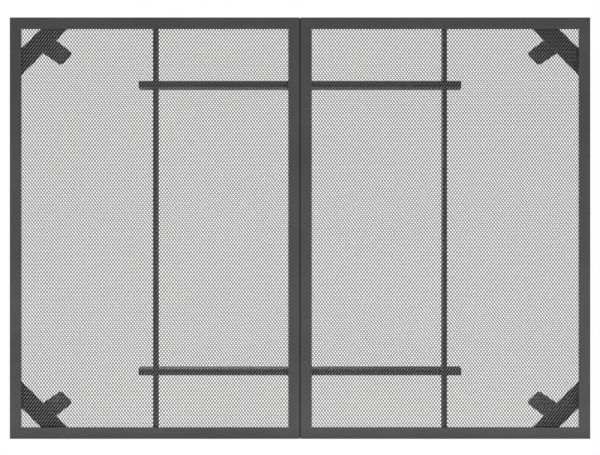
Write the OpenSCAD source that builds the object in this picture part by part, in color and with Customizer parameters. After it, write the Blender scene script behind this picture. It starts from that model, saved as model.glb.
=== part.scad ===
// Two-leaf fireplace screen.
// Each leaf is a mitred frame of folded steel angle with a woven wire mesh behind its flange.
// The leaves meet at a centre seam and fold there on two hinges hidden behind the meeting stiles.
// A diagonal strap in each outer corner carries a tab that runs back into the firebox opening.
// Millimetres. X runs across the screen, Y from the front to the back, Z up.
// The origin is under the middle of the screen's own box, on the surface it stands on.

/* [Screen] */
// Width of the flat screen, both leaves
screen_w = 960; // [760:10:1200]
// Height of the screen
screen_h = 697; // [560:1:900]
// Depth from the front faces to the ends of the tabs
screen_d = 95; // [70:1:130]
// Gap between the two leaves at the centre seam
seam_gap = 0.05; // [0.05:0.05:1.5]

/* [Frame angle] */
// Width of the front flange
flange_w = 19.3; // [15:0.1:25]
// Depth of the leg that runs back round the edge of a leaf
leg_d = 15; // [12:0.5:25]
// Sheet thickness
frame_t = 1.5; // [1:0.1:2]
// Outside radius of the fold between flange and leg
fold_r = 1.6; // [1.6:0.1:3]
// Radius of each leaf's four corners, seen from the front
corner_r = 2.5; // [0.5:0.5:5]

/* [Mesh] */
// Thickness of the woven mesh, over both wires
mesh_t = 2.2; // [1:0.1:3]
// Clearance between the mesh's edge and the frame's legs
mesh_gap = 1; // [0.5:0.1:2]
// Width of the strips that hold the mesh against the flange
retainer_w = 14; // [8:0.5:15]
// Thickness of those strips
retainer_t = 1.2; // [0.8:0.1:2]

/* [Stiffener bars] */
// Distance from the centre seam to the middle of each upright bar
stiffener_x = 240.2; // [180:0.1:300]
// Face width of an upright bar
stiffener_w = 7.2; // [4:0.1:12]

/* [Hinge bars] */
// Distance of each level bar above or below mid-height
bar_z = 241.4; // [150:0.1:260]
// Height of a level bar
bar_h = 10.6; // [10:0.1:14]
// Depth of a level bar, front to back
bar_d = 20; // [14:0.5:25]
// Distance from the centre seam to a level bar's outer end, at its front face
bar_reach = 270.6; // [250:0.1:360]
// Further reach of that end at the bar's rear face, where the end is cut on a slant
bar_rake = 3.6; // [0:0.1:6]

/* [Corner straps and tabs] */
// Width of a strap, and of a tab
strap_w = 30.6; // [20:0.1:40]
// Thickness of a strap, and of a tab
strap_t = 3; // [2:0.5:5]
// Sum of the distances from the screen's centre lines to a strap's outer edge
strap_outer_sum = 768.5; // [700:0.1:800]
// Distance that a tab stands off the middle of its strap, towards the rail
tab_shift = 10.7; // [0:0.1:20]
// Corner radius at a tab's end
tab_end_r = 9; // [1:0.5:10]

/* [Hinges] */
// Diameter of a hinge pin
pin_d = 6; // [5:0.5:8]
// Radial clearance between a pin and the eye that turns on it
run_clear = 0.05; // [0.01:0.01:0.1]
// Radius of a hinge eye
eye_r = 8; // [7:0.5:10]
// Thickness of a hinge lug
lug_t = 6; // [4:0.5:8]
// Thickness of a hinge washer
washer_t = 0.5; // [0.3:0.1:1]
// Distance of the hinge axis behind the level bars' rear faces
axis_back = 1; // [0.5:0.1:3]

/* [Hidden] */
$fn = 64;

// Finish of the coated steel, and of the pins
coat = [0.29, 0.29, 0.30];
coat_dark = [0.22, 0.22, 0.23];
coat_mesh = [0.35, 0.35, 0.36];
zinc = [0.62, 0.63, 0.65];

half_w = screen_w / 2;
mid_z = screen_h / 2;
leaf_w = half_w - seam_gap / 2;   // width of one leaf
root2 = sqrt(2);

mesh_y = frame_t;                  // the mesh lies on the back of the flange
retainer_y = mesh_y + mesh_t;
bar_y = leg_d;                     // the level bars and straps lie on the legs' rear edges
axis_y = bar_y + bar_d + axis_back;

inset = frame_t + mesh_gap;        // from a leaf's edge to the mesh's edge
split_clear = 0.5;                 // between a split retaining strip and the stiffener bar

tongue_h = bar_h - 2 * washer_t - 0.2; // height of the right bar's eye, between the washers
head_h = 2.5;
tail = 3.5;                        // length of pin below the lower lug
groove_r = pin_d / 2 - 0.5;
groove_h = 0.9;
clip_t = 0.8;

strap_c = strap_outer_sum / root2 - strap_w; // from the screen's centre to a strap's inner edge

// ---------- helpers ----------

// Everything below is drawn with the front faces at Y = 0 and moved back here
module placed() translate([0, -screen_d / 2, 0]) children();

// The right leaf is the left leaf's mirror image
module on_right() mirror([1, 0, 0]) children();

// The lower half is the upper half's mirror image about mid-height
module in_lower_half() translate([0, 0, screen_h]) mirror([0, 0, 1]) children();

// Gives a front-view outline (X, Z) a depth from y0 to y1
module deep(y0, y1) translate([0, y1, 0]) rotate([90, 0, 0]) linear_extrude(height = y1 - y0) children();

// Front-view outline of the left leaf, with its corners rounded
module leaf_outline() {
    difference() {
        translate([-half_w, 0]) square([leaf_w, screen_h]);
        for (cx = [0, 1], cz = [0, 1])
            translate([cx ? -seam_gap / 2 : -half_w, cz ? screen_h : 0])
                mirror([cx, 0]) mirror([0, cz])
                    difference() {
                        translate([-1, -1]) square(corner_r + 1);
                        translate([corner_r, corner_r]) circle(r = corner_r);
                    }
    }
}

// Cross-section of the folded angle: flange along +X, leg along +Y, outside of the fold at the origin
module angle_profile() {
    translate([fold_r, fold_r])
        intersection() {
            difference() {
                circle(r = fold_r);
                circle(r = fold_r - frame_t + 0.001);
            }
            translate([-fold_r, -fold_r]) square(fold_r);
        }
    translate([fold_r, 0]) square([flange_w - fold_r, frame_t]);
    translate([0, fold_r]) square([frame_t, leg_d - fold_r]);
}

// One mitred frame member of length len along +X, with its outer edge on Z = 0 and its flange facing -Y
module frame_member(len) {
    intersection() {
        translate([len, 0, 0]) rotate([0, -90, 0]) linear_extrude(height = len) angle_profile();
        deep(-1, leg_d + 1)
            polygon([[0, 0], [len, 0], [len - flange_w - 1, flange_w + 1], [flange_w + 1, flange_w + 1]]);
    }
}

// ---------- left leaf ----------

module rounded_to_leaf() {
    intersection() {
        children();
        deep(-1, leg_d + 1) leaf_outline();
    }
}

module outer_stile() {
    color(coat) placed() rounded_to_leaf()
        translate([-half_w, 0, 0]) mirror([1, 0, 0]) rotate([0, -90, 0]) frame_member(screen_h);
}

module inner_stile() {
    color(coat) placed() rounded_to_leaf()
        translate([-seam_gap / 2, 0, 0]) rotate([0, -90, 0]) frame_member(screen_h);
}

module bottom_rail() {
    color(coat) placed() rounded_to_leaf()
        translate([-half_w, 0, 0]) frame_member(leaf_w);
}

module top_rail() {
    in_lower_half() bottom_rail();
}

// Solid envelope of the woven panel
module mesh_panel() {
    color(coat_mesh) placed()
        translate([-half_w + inset, mesh_y, inset])
            cube([leaf_w - 2 * inset, mesh_t, screen_h - 2 * inset]);
}

module outer_retainer() {
    color(coat_dark) placed()
        translate([-half_w + inset, retainer_y, inset + retainer_w])
            cube([retainer_w, retainer_t, screen_h - 2 * (inset + retainer_w)]);
}

module inner_retainer() {
    color(coat_dark) placed()
        translate([-seam_gap / 2 - inset - retainer_w, retainer_y, inset + retainer_w])
            cube([retainer_w, retainer_t, screen_h - 2 * (inset + retainer_w)]);
}

module bottom_retainer() {
    side = stiffener_w / 2 + split_clear;
    color(coat_dark) placed() {
        translate([-half_w + inset, retainer_y, inset])
            cube([half_w - inset - stiffener_x - side, retainer_t, retainer_w]);
        translate([-stiffener_x + side, retainer_y, inset])
            cube([stiffener_x - side - seam_gap / 2 - inset, retainer_t, retainer_w]);
    }
}

module top_retainer() {
    in_lower_half() bottom_retainer();
}

// Flat bar on edge, from the bottom rail's leg to the top rail's leg, against the back of the mesh
module stiffener_bar() {
    color(coat_dark) placed()
        translate([-stiffener_x - stiffener_w / 2, retainer_y, frame_t])
            cube([stiffener_w, leg_d - retainer_y, screen_h - 2 * frame_t]);
}

// Puts a piece drawn about a corner's diagonal in the upper left corner: X along the strap towards
// the stile, Z away from the screen's centre
module on_diagonal() {
    translate([0, 0, mid_z]) mirror([1, 0, 0]) rotate([0, 45, 0]) children();
}

// Diagonal strap across the corner, trimmed to the frame's outline
module upper_strap() {
    color(coat_dark) placed()
        intersection() {
            on_diagonal()
                translate([-screen_w / 2, bar_y, strap_c])
                    cube([screen_w, strap_t, strap_w]);
            deep(bar_y - 1, bar_y + strap_t + 1) leaf_outline();
        }
}

// Middle of the strap's length, measured along the strap
strap_mid = (half_w - mid_z) / root2;

// Tab welded behind the strap, flush with the strap's inner edge
module upper_tab() {
    length = screen_d - bar_y - strap_t;
    color(coat_dark) placed()
        on_diagonal()
            translate([strap_mid - tab_shift - strap_w / 2, bar_y + strap_t, strap_c])
                linear_extrude(height = strap_t)
                    union() {
                        square([strap_w, length - tab_end_r]);
                        translate([tab_end_r, 0]) square([strap_w - 2 * tab_end_r, length]);
                        for (x = [tab_end_r, strap_w - tab_end_r])
                            translate([x, length - tab_end_r]) circle(r = tab_end_r);
                    }
}

// A level bar in the left half, from x_in out to its slanted end
module level_bar(x_in) {
    far = bar_reach + bar_rake;
    difference() {
        translate([-far - 1, bar_y, -bar_h / 2]) cube([far + 1 - x_in, bar_d, bar_h]);
        translate([-bar_reach, bar_y, -bar_h]) rotate([0, 0, atan(bar_rake / bar_d)])
            translate([-50, -20, 0]) cube([50, bar_d + 40, 2 * bar_h]);
    }
}

// Left level bar: notched at its inner end, so that the right bar's eye can turn there
module left_hinge_bar() {
    color(coat_dark) placed() translate([0, 0, mid_z + bar_z])
        difference() {
            level_bar(seam_gap / 2);
            translate([0, axis_y, -bar_h]) cylinder(r = eye_r + 0.6, h = 2 * bar_h);
        }
}

// Right level bar: its inner end is thinned into a tongue with an eye for the pin
module right_hinge_bar() {
    neck = eye_r + 1.5;
    color(coat_dark) placed() translate([0, 0, mid_z + bar_z])
        difference() {
            union() {
                on_right() level_bar(neck);
                translate([seam_gap / 2, bar_y, -tongue_h / 2]) cube([neck - seam_gap / 2 + 1, bar_d, tongue_h]);
                translate([0, axis_y, -tongue_h / 2]) cylinder(r = eye_r, h = tongue_h);
            }
            translate([0, axis_y, -bar_h]) cylinder(r = pin_d / 2 + run_clear, h = 2 * bar_h);
        }
}

// ---------- centre fold ----------

// A pair of lugs, welded above and below the left level bar
module hinge_lugs() {
    color(coat_dark) placed() translate([0, 0, mid_z + bar_z])
        for (s = [0, 1]) mirror([0, 0, s])
            translate([0, 0, bar_h / 2])
                difference() {
                    union() {
                        translate([-flange_w, bar_y + 1, 0]) cube([flange_w, bar_d - 1, lug_t]);
                        translate([0, axis_y, 0]) cylinder(r = eye_r, h = lug_t);
                    }
                    translate([0, axis_y, -1]) cylinder(r = pin_d / 2, h = lug_t + 2);
                }
}

pin_top = bar_h / 2 + lug_t;
pin_end = -bar_h / 2 - lug_t - tail;
groove_z = -bar_h / 2 - lug_t - groove_h - 0.2;

// Headed pin with a groove below the lower lug
module hinge_pin() {
    color(zinc) placed() translate([0, axis_y, mid_z + bar_z])
        difference() {
            union() {
                translate([0, 0, pin_end + 0.6]) cylinder(r = pin_d / 2, h = pin_top - pin_end - 0.6);
                translate([0, 0, pin_end]) cylinder(r1 = pin_d / 2 - 0.6, r2 = pin_d / 2, h = 0.6);
                translate([0, 0, pin_top]) cylinder(r = pin_d / 2 + 2, h = head_h - 0.5);
                translate([0, 0, pin_top + head_h - 0.5]) cylinder(r1 = pin_d / 2 + 2, r2 = pin_d / 2 + 1.5, h = 0.5);
            }
            translate([0, 0, groove_z])
                difference() {
                    cylinder(r = pin_d / 2 + 1, h = groove_h);
                    translate([0, 0, -1]) cylinder(r = groove_r, h = groove_h + 2);
                }
        }
}

// Open ring that snaps into the pin's groove
module pin_clip() {
    color(zinc) placed() translate([0, axis_y, mid_z + bar_z + groove_z + (groove_h - clip_t) / 2])
        difference() {
            cylinder(r = pin_d / 2 + 1.6, h = clip_t);
            translate([0, 0, -1]) cylinder(r = groove_r, h = clip_t + 2);
            translate([-groove_r * 0.8, 0, -1]) cube([groove_r * 1.6, pin_d, clip_t + 2]);
        }
}

// One washer above the eye and one below it
module hinge_washers() {
    color(zinc) placed() translate([0, axis_y, mid_z + bar_z])
        for (s = [0, 1]) mirror([0, 0, s])
            translate([0, 0, bar_h / 2 - washer_t])
                difference() {
                    cylinder(r = eye_r - 0.5, h = washer_t);
                    translate([0, 0, -1]) cylinder(r = pin_d / 2 + 0.1, h = washer_t + 2);
                }
}

// Drops an upper hinge piece to the lower hinge without turning it over
module at_lower_hinge() translate([0, 0, -2 * bar_z]) children();

// ---------- sub-parts ----------

module left_outer_stile() outer_stile();
module left_inner_stile() inner_stile();
module left_top_rail() top_rail();
module left_bottom_rail() bottom_rail();
module left_mesh() mesh_panel();
module left_outer_retainer() outer_retainer();
module left_inner_retainer() inner_retainer();
module left_top_retainer() top_retainer();
module left_bottom_retainer() bottom_retainer();
module left_stiffener_bar() stiffener_bar();
module left_upper_strap() upper_strap();
module left_lower_strap() in_lower_half() upper_strap();
module left_upper_tab() upper_tab();
module left_lower_tab() in_lower_half() upper_tab();
module left_upper_hinge_bar() left_hinge_bar();
module left_lower_hinge_bar() at_lower_hinge() left_hinge_bar();

module right_outer_stile() on_right() outer_stile();
module right_inner_stile() on_right() inner_stile();
module right_top_rail() on_right() top_rail();
module right_bottom_rail() on_right() bottom_rail();
module right_mesh() on_right() mesh_panel();
module right_outer_retainer() on_right() outer_retainer();
module right_inner_retainer() on_right() inner_retainer();
module right_top_retainer() on_right() top_retainer();
module right_bottom_retainer() on_right() bottom_retainer();
module right_stiffener_bar() on_right() stiffener_bar();
module right_upper_strap() on_right() upper_strap();
module right_lower_strap() on_right() in_lower_half() upper_strap();
module right_upper_tab() on_right() upper_tab();
module right_lower_tab() on_right() in_lower_half() upper_tab();
module right_upper_hinge_bar() right_hinge_bar();
module right_lower_hinge_bar() at_lower_hinge() right_hinge_bar();

module upper_hinge_lugs() hinge_lugs();
module lower_hinge_lugs() at_lower_hinge() hinge_lugs();
module upper_hinge_pin() hinge_pin();
module lower_hinge_pin() at_lower_hinge() hinge_pin();
module upper_pin_clip() pin_clip();
module lower_pin_clip() at_lower_hinge() pin_clip();
module upper_hinge_washers() hinge_washers();
module lower_hinge_washers() at_lower_hinge() hinge_washers();

left_outer_stile();
left_inner_stile();
left_top_rail();
left_bottom_rail();
left_mesh();
left_outer_retainer();
left_inner_retainer();
left_top_retainer();
left_bottom_retainer();
left_stiffener_bar();
left_upper_strap();
left_lower_strap();
left_upper_tab();
left_lower_tab();
left_upper_hinge_bar();
left_lower_hinge_bar();
right_outer_stile();
right_inner_stile();
right_top_rail();
right_bottom_rail();
right_mesh();
right_outer_retainer();
right_inner_retainer();
right_top_retainer();
right_bottom_retainer();
right_stiffener_bar();
right_upper_strap();
right_lower_strap();
right_upper_tab();
right_lower_tab();
right_upper_hinge_bar();
right_lower_hinge_bar();
upper_hinge_lugs();
lower_hinge_lugs();
upper_hinge_pin();
lower_hinge_pin();
upper_pin_clip();
lower_pin_clip();
upper_hinge_washers();
lower_hinge_washers();
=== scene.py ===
import math

import bmesh
import bpy
import numpy as np
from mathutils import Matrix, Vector


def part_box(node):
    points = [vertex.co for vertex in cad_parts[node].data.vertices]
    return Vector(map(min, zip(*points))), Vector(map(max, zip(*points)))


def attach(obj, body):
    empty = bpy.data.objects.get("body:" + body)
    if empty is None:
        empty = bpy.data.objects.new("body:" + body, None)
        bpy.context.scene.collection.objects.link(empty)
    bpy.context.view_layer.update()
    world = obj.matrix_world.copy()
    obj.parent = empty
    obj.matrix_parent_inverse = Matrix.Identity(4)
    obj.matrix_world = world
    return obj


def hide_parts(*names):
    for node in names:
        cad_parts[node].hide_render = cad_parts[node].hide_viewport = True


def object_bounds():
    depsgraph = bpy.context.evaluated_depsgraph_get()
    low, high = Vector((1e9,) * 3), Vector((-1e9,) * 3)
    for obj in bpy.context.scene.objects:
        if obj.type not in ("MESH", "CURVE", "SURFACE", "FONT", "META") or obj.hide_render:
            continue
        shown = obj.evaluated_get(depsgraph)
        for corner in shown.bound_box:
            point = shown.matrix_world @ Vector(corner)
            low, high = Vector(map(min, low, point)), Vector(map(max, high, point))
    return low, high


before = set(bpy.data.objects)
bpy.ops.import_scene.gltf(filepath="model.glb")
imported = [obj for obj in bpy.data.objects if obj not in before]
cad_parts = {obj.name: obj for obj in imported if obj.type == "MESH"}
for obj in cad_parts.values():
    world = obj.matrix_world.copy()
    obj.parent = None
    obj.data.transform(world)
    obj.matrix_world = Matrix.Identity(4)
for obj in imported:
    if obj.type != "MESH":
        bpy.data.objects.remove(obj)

CAD_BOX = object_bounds()
MM = 0.001
scene = bpy.context.scene

# ---------------------------------------------------------------- places, from the CAD
lo_all, hi_all = CAD_BOX
FRONT_Y = lo_all.y
HALF_W = hi_all.x
HEIGHT = hi_all.z
MID_Z = HEIGHT / 2


# ---------------------------------------------------------------- materials
def new_material(name):
    m = bpy.data.materials.new(name)
    m.use_nodes = True
    nt = m.node_tree
    nt.nodes.clear()
    out = nt.nodes.new("ShaderNodeOutputMaterial")
    bsdf = nt.nodes.new("ShaderNodeBsdfPrincipled")
    nt.links.new(bsdf.outputs["BSDF"], out.inputs["Surface"])
    return m, nt, bsdf


def noise(nt, coords, scale, detail=2.0, rough=0.5):
    n = nt.nodes.new("ShaderNodeTexNoise")
    n.inputs["Scale"].default_value = scale
    n.inputs["Detail"].default_value = detail
    n.inputs["Roughness"].default_value = rough
    nt.links.new(coords, n.inputs["Vector"])
    return n.outputs["Fac"]


def ramp(nt, fac, stops):
    r = nt.nodes.new("ShaderNodeValToRGB")
    els = r.color_ramp.elements
    while len(els) < len(stops):
        els.new(0.5)
    for e, (p, c) in zip(els, stops):
        e.position = p
        e.color = (*c, 1)
    nt.links.new(fac, r.inputs["Fac"])
    return r.outputs["Color"]


def map_range(nt, fac, a, b, lo, hi):
    r = nt.nodes.new("ShaderNodeMapRange")
    r.inputs["From Min"].default_value = a
    r.inputs["From Max"].default_value = b
    r.inputs["To Min"].default_value = lo
    r.inputs["To Max"].default_value = hi
    nt.links.new(fac, r.inputs["Value"])
    return r.outputs["Result"]


def mix_colour(nt, fac, a, b, mode="MIX"):
    m = nt.nodes.new("ShaderNodeMix")
    m.data_type = "RGBA"
    m.blend_type = mode
    for sock, value in (("Factor", fac), ("A", a), ("B", b)):
        s = next(i for i in m.inputs if i.name == sock and i.enabled)
        if isinstance(value, bpy.types.NodeSocket):
            nt.links.new(value, s)
        elif isinstance(value, (int, float)):
            s.default_value = value
        else:
            s.default_value = (*value, 1)
    return next(o for o in m.outputs if o.enabled)


def bumps(nt, bsdf, layers):
    """layers: (height socket, strength, distance in metres)"""
    normal = None
    for height, strength, distance in layers:
        b = nt.nodes.new("ShaderNodeBump")
        b.inputs["Strength"].default_value = strength
        b.inputs["Distance"].default_value = distance
        nt.links.new(height, b.inputs["Height"])
        if normal is not None:
            nt.links.new(normal, b.inputs["Normal"])
        normal = b.outputs["Normal"]
    nt.links.new(normal, bsdf.inputs["Normal"])


def scale_colour(nt, colour, factor):
    v = nt.nodes.new("ShaderNodeVectorMath")
    v.operation = "SCALE"
    nt.links.new(colour, v.inputs[0])
    nt.links.new(factor, v.inputs["Scale"])
    return v.outputs["Vector"]


def powder_coat(name, base, rough, spec=0.25, peel=1.0, grain=1.0, foot=1.0, seam=False):
    """Charcoal powder coat: a fine leathery texture, slightly uneven in colour and sheen.
    foot darkens it towards the bottom, and seam darkens the edges that meet at the fold; both are painted shade."""
    m, nt, bsdf = new_material(name)
    co = nt.nodes.new("ShaderNodeTexCoord").outputs["Object"]
    broad = noise(nt, co, 9.0, 3.0, 0.55)
    fine = noise(nt, co, 1500.0, 2.0, 0.6)
    peel_n = noise(nt, co, 620.0, 2.0, 0.5)
    dark = tuple(c * 0.90 for c in base)
    light = tuple(c * 1.10 for c in base)
    colour = ramp(nt, broad, [(0.3, dark), (0.7, light)])
    speck = ramp(nt, fine, [(0.32, (0.86, 0.86, 0.86)), (0.68, (1.14, 1.14, 1.14))])
    colour = mix_colour(nt, 1.0, colour, speck, "MULTIPLY")
    if foot != 1.0 or seam:
        xyz = nt.nodes.new("ShaderNodeSeparateXYZ")
        nt.links.new(co, xyz.inputs[0])
    # painted shade: the colour is scaled by foot at heights up to 0.15 m, rising to the full coat at 0.45 m
    if foot != 1.0:
        colour = scale_colour(nt, colour, map_range(nt, xyz.outputs["Z"], 0.15, 0.45, foot, 1.0))
    # painted shade in the crease: within about a millimetre of the seam (x = 0) the colour drops to 0.12 of the coat
    if seam:
        off = nt.nodes.new("ShaderNodeMath")
        off.operation = "ABSOLUTE"
        nt.links.new(xyz.outputs["X"], off.inputs[0])
        colour = scale_colour(nt, colour, map_range(nt, off.outputs[0], 0.00045, 0.00125, 0.12, 1.0))
    nt.links.new(colour, bsdf.inputs["Base Color"])
    nt.links.new(map_range(nt, peel_n, 0.3, 0.7, rough - 0.05, rough + 0.06), bsdf.inputs["Roughness"])
    bsdf.inputs["Specular IOR Level"].default_value = spec
    bumps(nt, bsdf, [(peel_n, 0.35 * peel, 0.00012), (fine, 0.30 * grain, 0.00005)])
    return m


def plated_steel(name):
    m, nt, bsdf = new_material(name)
    co = nt.nodes.new("ShaderNodeTexCoord").outputs["Object"]
    broad = noise(nt, co, 160.0, 3.0, 0.55)
    fine = noise(nt, co, 2600.0, 2.0, 0.6)
    colour = ramp(nt, broad, [(0.3, (0.40, 0.40, 0.41)), (0.55, (0.52, 0.52, 0.52)), (0.75, (0.56, 0.54, 0.49))])
    nt.links.new(colour, bsdf.inputs["Base Color"])
    bsdf.inputs["Metallic"].default_value = 1.0
    nt.links.new(map_range(nt, broad, 0.3, 0.7, 0.28, 0.42), bsdf.inputs["Roughness"])
    bumps(nt, bsdf, [(fine, 0.25, 0.00003)])
    return m


COAT = powder_coat("powder_coat_frame", (0.0545, 0.0545, 0.0548), 0.62, spec=0.12)
# the meeting stiles carry a painted shade line along the seam's V-groove
COAT_MEET_SEAM_SHADE = powder_coat("powder_coat_meeting_stiles_seam_shade", (0.0545, 0.0545, 0.0548), 0.62, spec=0.12, seam=True)
# painted shade: retainers, bars, straps, lugs and spot welds behind the mesh take a darker copy of the frame coat
# (0.038 against 0.0545), darkened further to 0.70 towards the bottom
COAT_REAR_SHADED = powder_coat("powder_coat_bars_painted_shade", (0.038, 0.038, 0.0383), 0.66, spec=0.10, foot=0.70)
# painted shade: the tabs take a still darker copy of the coat (0.015) with almost no sheen, darkened to 0.70 towards
# the bottom
COAT_TAB_SHADED = powder_coat("powder_coat_tabs_painted_shade", (0.015, 0.015, 0.0151), 0.70, spec=0.03, foot=0.70)
# painted highlight and painted shade: one wire coat in a lit, glossier copy for the warp wires (0.150) and a shaded
# copy for the weft wires (0.026)
COAT_WARP_HIGHLIGHT = powder_coat("powder_coat_wire_warp_painted_highlight", (0.150, 0.150, 0.151), 0.42, spec=0.5, peel=0.4, grain=0.6)
COAT_WEFT_SHADE = powder_coat("powder_coat_wire_weft_painted_shade", (0.026, 0.026, 0.0262), 0.55, spec=0.12, peel=0.4, grain=0.6)
COAT_WELD = powder_coat("powder_coat_weld", (0.042, 0.042, 0.0423), 0.58, spec=0.15, peel=1.4)
ZINC = plated_steel("zinc_plated_steel")


# ---------------------------------------------------------------- CAD nodes: material, softened edges
def soften(node, radius):
    """Rounds a CAD node's sharp edges with modifiers. Its own mesh stays as packed."""
    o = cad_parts[node]
    weld = o.modifiers.new("join_faces", "WELD")
    weld.merge_threshold = 2e-6
    bev = o.modifiers.new("soft_edges", "BEVEL")
    bev.width = radius
    bev.segments = 2
    bev.limit_method = "ANGLE"
    bev.angle_limit = math.radians(40)
    bev.use_clamp_overlap = True
    bev.harden_normals = True
    return o


def dress(node, material, radius):
    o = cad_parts[node]
    o.data.materials.clear()
    o.data.materials.append(material)
    if radius:
        soften(node, radius)


# the inner stiles take the coat with the painted seam shade, the rear parts a painted-shade copy, and the tabs a
# darker painted-shade copy
for side in ("left", "right"):
    for part in ("outer_stile", "inner_stile", "top_rail", "bottom_rail"):
        dress(f"{side}_{part}", COAT_MEET_SEAM_SHADE if part == "inner_stile" else COAT, 0)
    for part in ("outer_retainer", "inner_retainer", "top_retainer", "bottom_retainer"):
        dress(f"{side}_{part}", COAT_REAR_SHADED, 0.0003)
    for part in ("stiffener_bar", "upper_strap", "lower_strap", "upper_tab", "lower_tab", "upper_hinge_bar", "lower_hinge_bar"):
        dress(f"{side}_{part}", COAT_TAB_SHADED if part.endswith("tab") else COAT_REAR_SHADED, 0.0004)
for level in ("upper", "lower"):
    dress(f"{level}_hinge_lugs", COAT_REAR_SHADED, 0.0004)
    dress(f"{level}_hinge_pin", ZINC, 0)
    dress(f"{level}_pin_clip", ZINC, 0)
    dress(f"{level}_hinge_washers", ZINC, 0)


# ---------------------------------------------------------------- helpers for new pieces
def add_mesh(name, verts, faces, material, body, slot, smooth=True, replaces=()):
    me = bpy.data.meshes.new(name)
    me.from_pydata([tuple(map(float, v)) for v in verts], [], faces)
    me.update()
    o = bpy.data.objects.new(name, me)
    scene.collection.objects.link(o)
    me.materials.append(material)
    if smooth:
        me.polygons.foreach_set("use_smooth", [True] * len(me.polygons))
    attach(o, body)
    if replaces:
        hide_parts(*replaces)
    return o


def add_mesh_np(name, verts, quads, ngons, material, body, replaces=()):
    """A mesh from arrays: quads as (n, 4), and ngons as a list of equal-length index rows."""
    me = bpy.data.meshes.new(name)
    nq, ng = len(quads), len(ngons)
    k = len(ngons[0]) if ng else 0
    loops = np.concatenate([quads.ravel(), np.array(ngons, np.int64).ravel()]) if ng else quads.ravel()
    me.vertices.add(len(verts))
    me.vertices.foreach_set("co", np.asarray(verts, np.float32).ravel())
    me.loops.add(len(loops))
    me.loops.foreach_set("vertex_index", loops.astype(np.int32))
    me.polygons.add(nq + ng)
    starts = np.concatenate([np.arange(nq) * 4, nq * 4 + np.arange(ng) * k]).astype(np.int32)
    me.polygons.foreach_set("loop_start", starts)
    me.polygons.foreach_set("use_smooth", np.ones(nq + ng, bool))
    me.update(calc_edges=True)
    me.validate()
    o = bpy.data.objects.new(name, me)
    scene.collection.objects.link(o)
    me.materials.append(material)
    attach(o, body)
    if replaces:
        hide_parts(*replaces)
    return o


# ---------------------------------------------------------------- woven wire mesh
WIRE = 1.12 * MM           # wire diameter
SIDES = 6
CELL_X, CELL_Z = 2.999 * 1.6517 * 1.0026 * MM, 3.967 * 1.6517 * 1.0026 * MM   # one diamond, corner to corner
CROSS_X, CROSS_Z = (300.04 - 132.595) * 1.6517 * 1.0026 * MM, (348.5 + (228.18 - 71.66) * 1.6517 * 1.0026) * MM # one crossing, |x| from the seam and height
BANDS = 4


def weave(side):
    lo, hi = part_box(f"{side}_mesh")
    sign = -1 if side == "left" else 1
    yc = (lo.y + hi.y) / 2
    amp = max(0.0, ((hi.y - lo.y) - WIRE) / 2) - 0.000005
    x0, x1 = sorted((abs(lo.x), abs(hi.x)))
    m = 0.0006                # the cut ends stop just inside the panel's outline
    x0, x1, z0, z1 = x0 + m, x1 - m, lo.z + m, hi.z - m
    for family in ("warp", "weft"):
        # warp wires rise to the viewer's right, weft wires fall to it, on both leaves
        rising = (family == "warp") == (side == "right")    # in |x|, the left leaf is mirrored
        s = -1 if rising else 1                              # |x|/cx + s*z/cz is constant along a wire
        corners = [(x - CROSS_X) / CELL_X + s * (z - CROSS_Z) / CELL_Z for x in (x0, x1) for z in (z0, z1)]
        lines = list(range(math.ceil(min(corners)), math.floor(max(corners)) + 1))
        chunk = math.ceil(len(lines) / BANDS)
        for band in range(BANDS):
            V, Q, G, base = [], [], [], 0
            for n in lines[band * chunk:(band + 1) * chunk]:
                # along the wire, t is the other family's line number
                # x = CROSS_X + cx*(n+t)/2, z = CROSS_Z + s*cz*(n-t)/2
                tx = sorted([2 * (x - CROSS_X) / CELL_X - n for x in (x0, x1)])
                tz = sorted([n - s * 2 * (z - CROSS_Z) / CELL_Z for z in (z0, z1)])
                t0, t1 = max(tx[0], tz[0]), min(tx[1], tz[1])
                if t1 - t0 < 0.6:
                    continue
                ks = np.arange(math.ceil(2 * (t0 + 0.1)), math.floor(2 * (t1 - 0.1)) + 1) / 2.0
                t = np.concatenate([[t0], ks, [t1]])
                x = CROSS_X + CELL_X * (n + t) / 2
                z = CROSS_Z + s * CELL_Z * (n - t) / 2
                phase = np.cos(np.pi * (n + t))
                y = yc + amp * (-phase if family == "warp" else phase)
                d = np.array([CELL_X / 2, -s * CELL_Z / 2])
                d /= np.linalg.norm(d)
                across = np.array([-d[1], 0.0, d[0]])
                a = np.arange(SIDES) * 2 * np.pi / SIDES
                ring = np.cos(a)[:, None] * across + np.sin(a)[:, None] * np.array([0.0, 1.0, 0.0])
                centre = np.stack([x, y, z], 1)
                pts = centre[:, None, :] + ring[None] * (WIRE / 2)
                pts[..., 0] *= sign
                k = len(t)
                V.append(pts.reshape(-1, 3))
                i = np.arange(k - 1)[:, None] * SIDES
                j = np.arange(SIDES)[None]
                jn = (j + 1) % SIDES
                quad = np.stack([i + j, i + jn, i + SIDES + jn, i + SIDES + j], -1).reshape(-1, 4) + base
                cap0 = [base + q for q in range(SIDES)][::-1]
                cap1 = [base + (k - 1) * SIDES + q for q in range(SIDES)]
                if sign < 0:
                    quad = quad[:, ::-1]
                    cap0, cap1 = cap0[::-1], cap1[::-1]
                Q.append(quad)
                G += [cap0, cap1]
                base += k * SIDES
            V, Q = np.concatenate(V), np.concatenate(Q)
            # the rising warp wires take the painted-highlight coat, the falling weft wires the painted-shade coat
            o = add_mesh_np(f"{side}_mesh_{family}_{band + 1}", V, Q, G, COAT_WARP_HIGHLIGHT if family == "warp" else COAT_WEFT_SHADE, f"{side}_leaf", [f"{side}_mesh"])
            fix_outward(o)


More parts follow.
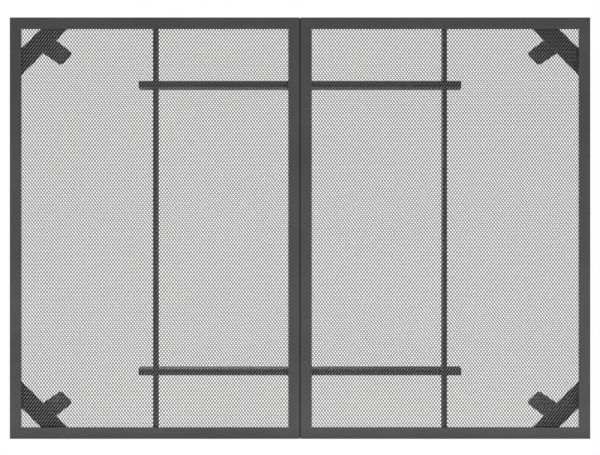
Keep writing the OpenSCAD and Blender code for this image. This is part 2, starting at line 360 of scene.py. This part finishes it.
def fix_outward(o):
    """Turns the faces outward if the signed volume is negative."""
    me = o.data
    me.calc_loop_triangles()
    n = len(me.loop_triangles)
    tri = np.zeros(n * 3, np.int32)
    me.loop_triangles.foreach_get("vertices", tri)
    co = np.zeros(len(me.vertices) * 3)
    me.vertices.foreach_get("co", co)
    p = co.reshape(-1, 3)[tri.reshape(-1, 3)]
    vol = np.einsum("ij,ij->i", p[:, 0], np.cross(p[:, 1], p[:, 2])).sum()
    if vol < 0:
        me.flip_normals()


weave("left")
weave("right")

# ---------------------------------------------------------------- weld beads and spot welds
def bead_parts(p0, p1, r, seed):
    """A rippled, round-ended bead along the line p0-p1."""
    p0, p1 = np.array(p0, float), np.array(p1, float)
    d = p1 - p0
    length = np.linalg.norm(d)
    d /= length
    ref = np.array([0, 0, 1.0]) if abs(d[2]) < 0.8 else np.array([1.0, 0, 0])
    u = np.cross(d, ref)
    u /= np.linalg.norm(u)
    v = np.cross(d, u)
    n = max(6, int(length / 0.0006))
    t = np.linspace(0, 1, n + 1)
    s_ = t * length
    end = np.minimum(s_, length - s_) / (r * 1.2)
    taper = np.sqrt(np.clip(1 - (1 - np.clip(end, 0, 1)) ** 2, 0.02, 1))
    ripple = 1 + 0.07 * np.abs(np.sin(np.pi * s_ / 0.0021 + seed)) + 0.05 * np.sin(s_ * 310 + seed * 1.7) + 0.03 * np.sin(s_ * 870 + seed)
    rad = r * taper * ripple
    wob = 0.10 * r * np.sin(s_ * 240 + seed * 2.3)
    k = 12
    a_ = np.arange(k) * 2 * np.pi / k
    c = p0 + s_[:, None] * d + wob[:, None] * u
    pts = c[:, None, :] + rad[:, None, None] * (np.cos(a_)[None, :, None] * u + np.sin(a_)[None, :, None] * v)
    i = np.arange(n)[:, None] * k
    j = np.arange(k)[None]
    jn = (j + 1) % k
    quads = np.stack([i + j, i + jn, i + k + jn, i + k + j], -1).reshape(-1, 4)
    verts = pts.reshape(-1, 3)
    caps = [list(range(k))[::-1], [n * k + q for q in range(k)]]
    return verts, quads, caps


def dimple_parts(centre, r):
    """A shallow raised ring round a pressed spot, facing back (+Y)."""
    prof = [(r * 1.25, -0.00005), (r * 1.1, 0.00012), (r * 0.9, 0.00014), (r * 0.7, 0.00003), (r * 0.35, -0.00002)]
    k = 14
    a_ = np.arange(k) * 2 * np.pi / k
    rows = [np.stack([centre[0] + q * np.cos(a_), np.full(k, centre[1] + h), centre[2] + q * np.sin(a_)], 1) for q, h in prof]
    verts = np.concatenate(rows)
    quads = []
    for m in range(len(prof) - 1):
        for j in range(k):
            quads.append([m * k + j, m * k + (j + 1) % k, (m + 1) * k + (j + 1) % k, (m + 1) * k + j])
    # flat underside, buried in the strip, and the middle of the spot
    caps = [[j for j in range(k)][::-1], [(len(prof) - 1) * k + j for j in range(k)]]
    return verts, np.array(quads), caps


def gather(name, parts, material, body):
    V, Q, G, base = [], [], [], 0
    for verts, quads, caps in parts:
        V.append(verts)
        Q.append(quads + base)
        G += [[base + q for q in c] for c in caps]
        base += len(verts)
    V = np.concatenate(V)
    # beads stay within the frame's own outline, and on their own leaf's side of the seam
    own = -1 if body.startswith("left") else 1
    V[:, 0] = own * np.clip(own * V[:, 0], 0.0003, HALF_W - 0.0002)
    V[:, 2] = np.clip(V[:, 2], 0.0002, HEIGHT - 0.0002)
    o = add_mesh_np(name, V, np.concatenate(Q), G, material, body)
    me = o.data
    bm = bmesh.new()
    bm.from_mesh(me)
    bmesh.ops.recalc_face_normals(bm, faces=bm.faces)
    bm.to_mesh(me)
    bm.free()
    return o


for side in ("left", "right"):
    sx = -1 if side == "left" else 1
    ws = []
    seed = 0.0

    def weld(p0, p1, r=0.0019):
        global seed
        seed += 1.0
        # the line is given with x measured out from the seam
        ws.append(bead_parts((sx * p0[0], p0[1], p0[2]), (sx * p1[0], p1[1], p1[2]), r, seed))

    leg_y = FRONT_Y + 0.015            # rear edge of the frame's legs
    t = 0.0015
    for level, zs in (("upper", 1), ("lower", -1)):
        slo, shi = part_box(f"{side}_{level}_strap")
        z_in = min(abs(slo.z - MID_Z), abs(shi.z - MID_Z))
        width = 0.0306 * math.sqrt(2)
        # on the stile: the strap crosses the inside of the leg between these heights
        inner_sum = HALF_W + z_in
        ex = HALF_W - t - 0.0011
        weld((ex, leg_y, MID_Z + zs * (inner_sum - ex + 0.002)), (ex, leg_y, MID_Z + zs * (inner_sum + width - ex - 0.002)), 0.0017)
        ez = MID_Z - t - 0.0011
        weld((inner_sum - ez + 0.002, leg_y, MID_Z + zs * ez), (inner_sum + width - ez - 0.002, leg_y, MID_Z + zs * ez), 0.0017)
        # tab on the strap's rear face
        tlo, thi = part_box(f"{side}_{level}_tab")
        ty = tlo.y
        ax0, ax1 = sorted((abs(tlo.x), abs(thi.x)))
        az0, az1 = sorted((abs(tlo.z - MID_Z), abs(thi.z - MID_Z)))
        e = 0.0012
        weld((ax0 + 0.0021 + e, ty, MID_Z + zs * (az1 - e)), (ax1 - e, ty, MID_Z + zs * (az0 + 0.0021 + e)), 0.0021)
        # level bar: on the stiffener, above and below, and on the inner stile's leg
        blo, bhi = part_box(f"{side}_{level}_hinge_bar")
        flo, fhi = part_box(f"{side}_stiffener_bar")
        fx0, fx1 = sorted((abs(flo.x), abs(fhi.x)))
        for z in (blo.z, bhi.z):
            weld((fx0 + 0.0008, blo.y, z), (fx1 - 0.0008, blo.y, z), 0.0017)
        weld((0.0016, leg_y, blo.z + 0.0008), (0.0016, leg_y, bhi.z - 0.0008), 0.0016)
    # stiffener ends on the rails' legs
    flo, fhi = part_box(f"{side}_stiffener_bar")
    fx0, fx1 = sorted((abs(flo.x), abs(fhi.x)))
    for z in (flo.z, fhi.z):
        for x in (fx0, fx1):
            weld((x, flo.y + 0.0035, z), (x, fhi.y - 0.0008, z), 0.0015)
    # the inside of each mitre
    for x in (t + 0.0002, HALF_W - t):
        for z in (t, HEIGHT - t):
            weld((x, FRONT_Y + 0.0055, z), (x, leg_y - 0.0006, z), 0.0013)
    # lugs on the left bars
    if side == "left":
        for level in ("upper", "lower"):
            blo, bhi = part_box(f"left_{level}_hinge_bar")
            llo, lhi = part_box(f"{level}_hinge_lugs")
            for z in (blo.z, bhi.z):
                weld((abs(llo.x), blo.y + 0.0025, z), (abs(llo.x), bhi.y - 0.0008, z), 0.0018)
                weld((abs(llo.x) - 0.0005, bhi.y, z), (0.0125, bhi.y, z), 0.0014)
    gather(f"{side}_weld_beads", ws, COAT_WELD, f"{side}_leaf")

    spots = []
    for part in ("outer_retainer", "inner_retainer"):
        rlo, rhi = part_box(f"{side}_{part}")
        n = 13
        for i in range(n):
            z = rlo.z + 0.012 + (rhi.z - rlo.z - 0.024) * i / (n - 1)
            spots.append(dimple_parts(((rlo.x + rhi.x) / 2, rhi.y, z), 0.0022))
    for part in ("top_retainer", "bottom_retainer"):
        rlo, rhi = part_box(f"{side}_{part}")
        n = 9
        for i in range(n):
            x = rlo.x + 0.012 + (rhi.x - rlo.x - 0.024) * i / (n - 1)
            if abs(abs(x) - 0.2402) > 0.009:
                spots.append(dimple_parts((x, rhi.y, (rlo.z + rhi.z) / 2), 0.0022))
    gather(f"{side}_spot_welds", spots, COAT_REAR_SHADED, f"{side}_leaf")

# ---------------------------------------------------------------- camera
MM_PER_PX = 1.6517
cam_data = bpy.data.cameras.new("camera")
cam = bpy.data.objects.new("camera", cam_data)
scene.collection.objects.link(cam)
cam_data.sensor_width = 36.0
cam_data.lens = 36.0 * 1000.0 / (600 * MM_PER_PX)
CAM_X = -4.5               # mm left of the seam, so the seam's own gap is closed to the eye
cam.location = (CAM_X * MM, FRONT_Y - 1.0, MID_Z + 0.68 * MM_PER_PX * MM)
cam_data.shift_x = (-CAM_X / MM_PER_PX - 0.04) / 600
cam.rotation_euler = (math.radians(90), 0, 0)
cam_data.clip_start, cam_data.clip_end = 0.05, 50
scene.camera = cam

# ---------------------------------------------------------------- stage and light
def stage_material(name, emit):
    m = bpy.data.materials.new(name)
    m.use_nodes = True
    nt = m.node_tree
    nt.nodes.clear()
    out = nt.nodes.new("ShaderNodeOutputMaterial")
    e = nt.nodes.new("ShaderNodeEmission")
    e.inputs["Color"].default_value = (1, 1, 1, 1)
    e.inputs["Strength"].default_value = emit
    nt.links.new(e.outputs[0], out.inputs["Surface"])
    return m


def stage_mesh(name, verts, faces, material):
    me = bpy.data.meshes.new(name)
    me.from_pydata(verts, [], faces)
    me.update()
    o = bpy.data.objects.new(name, me)
    scene.collection.objects.link(o)
    me.materials.append(material)
    return o


R, WALL_H, N = 6.0, 3.0, 64
ring = [(R * math.cos(2 * math.pi * i / N), R * math.sin(2 * math.pi * i / N)) for i in range(N)]
floor = stage_mesh("floor", [(x, y, -0.0002) for x, y in ring], [tuple(range(N))], stage_material("stage_floor", 1.0))
floor.visible_shadow = False      # a translucent light table: the low key shines up through it
wall = stage_mesh(
    "backdrop",
    [(x, y, -0.0002) for x, y in ring] + [(x, y, WALL_H) for x, y in ring],
    [((i + 1) % N, i, N + i, N + (i + 1) % N) for i in range(N)],
    stage_material("stage_wall", 1.0),
)

world = bpy.data.worlds.new("world")
world.use_nodes = True
bg = world.node_tree.nodes["Background"]
bg.inputs["Color"].default_value = (1, 1, 1, 1)
bg.inputs["Strength"].default_value = 0.25
scene.world = world


def area(name, loc, target, size, power, spread=180):
    l = bpy.data.lights.new(name, "AREA")
    l.shape = "RECTANGLE"
    l.size, l.size_y = size
    l.energy = power
    l.spread = math.radians(spread)
    o = bpy.data.objects.new(name, l)
    scene.collection.objects.link(o)
    o.location = loc
    o.rotation_euler = (Vector(target) - Vector(loc)).to_track_quat("-Z", "Y").to_euler()
    o.visible_camera = False
    return o


KEY = Vector((0.20, -0.60, -0.72)).normalized()
area("key_low_right", Vector((0, 0, MID_Z)) + KEY * 3.5, (0, 0, MID_Z), (1.3, 1.3), 50.0)
# a wide panel lying on the floor in front, so the foot of the screen is a little brighter than its top
area("panel_front", (0, -0.53, 0.001), (0, -0.53, 1.0), (2.6, 0.94), 0.75 * math.pi * 2.6 * 0.94)
# soft fill for the back, level with the screen so that it adds nothing to the faces seen from the front
area("fill_rear", (-0.7, 3.2, 0.9), (0, 0, 0.4), (2.0, 1.6), 110.0)

scene.view_settings.view_transform = "Standard"
scene.view_settings.look = "None"
scene.view_settings.exposure = 0.0
scene.view_settings.gamma = 1.0
